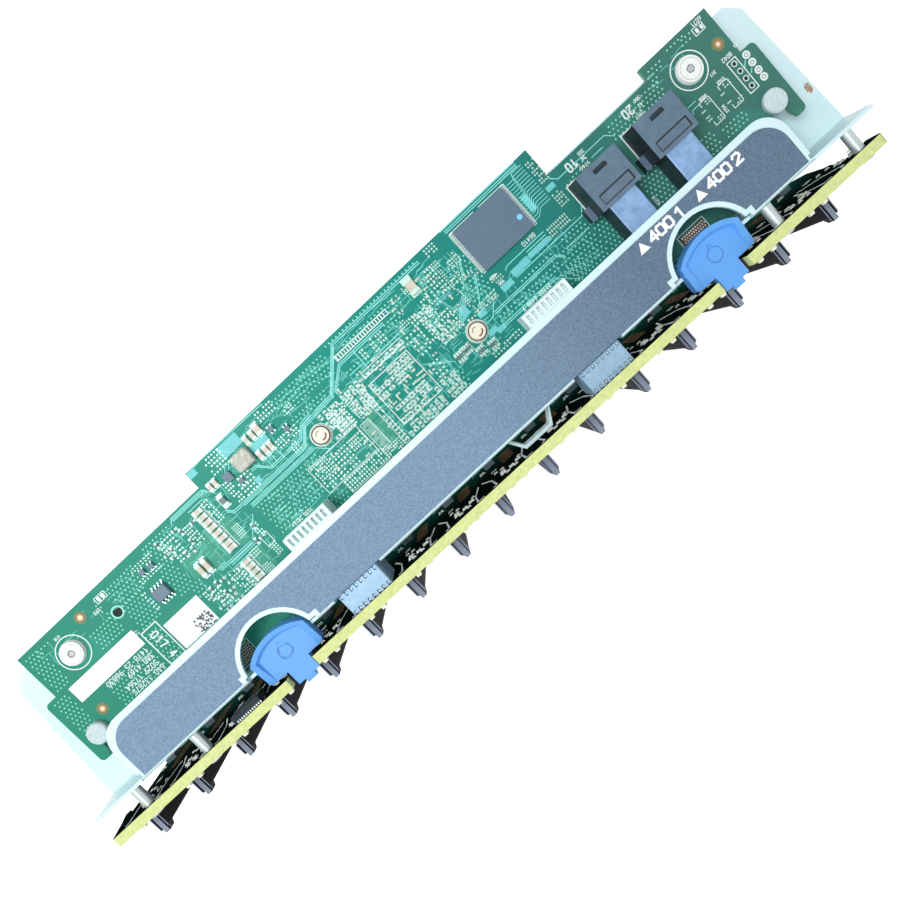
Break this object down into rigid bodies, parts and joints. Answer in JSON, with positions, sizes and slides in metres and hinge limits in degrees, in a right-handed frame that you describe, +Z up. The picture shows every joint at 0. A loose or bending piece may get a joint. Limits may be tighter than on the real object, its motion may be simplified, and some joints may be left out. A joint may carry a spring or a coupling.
{
  "type": "drive backplane board",
  "caption": "Drive backplane: upright board with a row of drive connectors, a folded bracket, a flat expander board with cable ports, and two blue release levers.",
  "frame": {"origin": "midway between the two locating holes, on the main board's drive side", "axes": "+X along the board to the right seen from the drive side, +Y from the drives to the rear, +Z up to the edge with the release levers"},
  "size_m": [0.2998, 0.0744, 0.08],
  "materials": {
    "board_green": "satin solder mask over glass fibre",
    "zinc_steel": "zinc-plated sheet",
    "label_slate": "matt printed film",
    "bright_steel": "plated steel",
    "blue_plastic": "satin moulded",
    "spring_wire": "drawn wire",
    "chip_black": "moulded epoxy",
    "sink_aluminium": "extruded",
    "pin_plastic": "moulded nylon",
    "inductor_grey": "pressed iron powder",
    "port_plastic": "moulded",
    "shell_steel": "pressed steel",
    "link_plastic": "moulded",
    "socket_plastic": "moulded",
    "led_cream": "clear resin over a cream base",
    "header_black": "moulded",
    "connector_black": "moulded",
    "can_aluminium": "drawn can"
  },
  "bodies": {
    "board": {"main_board": "board_green", "bracket": "zinc_steel", "label_panel": "label_slate", "board_posts": "bright_steel", "board_screws": "bright_steel", "lever_spring_left": "spring_wire", "lever_spring_right": "spring_wire", "expander_board": "board_green", "expander_chip": "chip_black", "heat_sink": "sink_aluminium", "heat_sink_pins": "pin_plastic", "flash_chip": "chip_black", "power_inductor": "inductor_grey", "power_controller": "chip_black", "keyhole_studs": "bright_steel", "expander_posts": "bright_steel", "expander_screws": "bright_steel", "port_hood_a": "port_plastic", "port_hood_b": "port_plastic", "port_shell_a": "shell_steel", "port_shell_b": "shell_steel", "link_header_left": "link_plastic", "link_header_right": "link_plastic", "link_receptacle_left": "socket_plastic", "link_receptacle_right": "socket_plastic", "status_leds": "led_cream", "drive_signal_chips": "chip_black", "sideband_header": "header_black", "power_header_left": "header_black", "power_header_right": "header_black", "bulk_capacitors": "can_aluminium", "drive_connector_01": "connector_black", "drive_connector_02": "connector_black", "drive_connector_03": "connector_black", "drive_connector_04": "connector_black", "drive_connector_05": "connector_black", "drive_connector_06": "connector_black", "drive_connector_07": "connector_black", "drive_connector_08": "connector_black", "drive_connector_09": "connector_black", "drive_connector_10": "connector_black", "drive_connector_11": "connector_black", "drive_connector_12": "connector_black", "drive_connector_13": "connector_black", "drive_connector_14": "connector_black", "drive_connector_15": "connector_black", "drive_connector_16": "connector_black"},
    "lever_left": {"release_lever_left": "blue_plastic"},
    "lever_right": {"release_lever_right": "blue_plastic"}
  },
  "joints": [
    {"name": "lever_left_slide", "type": "slide", "parent": "board", "child": "lever_left", "axis": [0, 1, 0], "range_m": [0, 0.0022], "stiffness_N_per_m": 900, "springref_m": -0.002, "deforming": ["lever_spring_left"]},
    {"name": "lever_right_slide", "type": "slide", "parent": "board", "child": "lever_right", "axis": [0, 1, 0], "range_m": [0, 0.0022], "stiffness_N_per_m": 900, "springref_m": -0.002, "deforming": ["lever_spring_right"]}
  ]
}
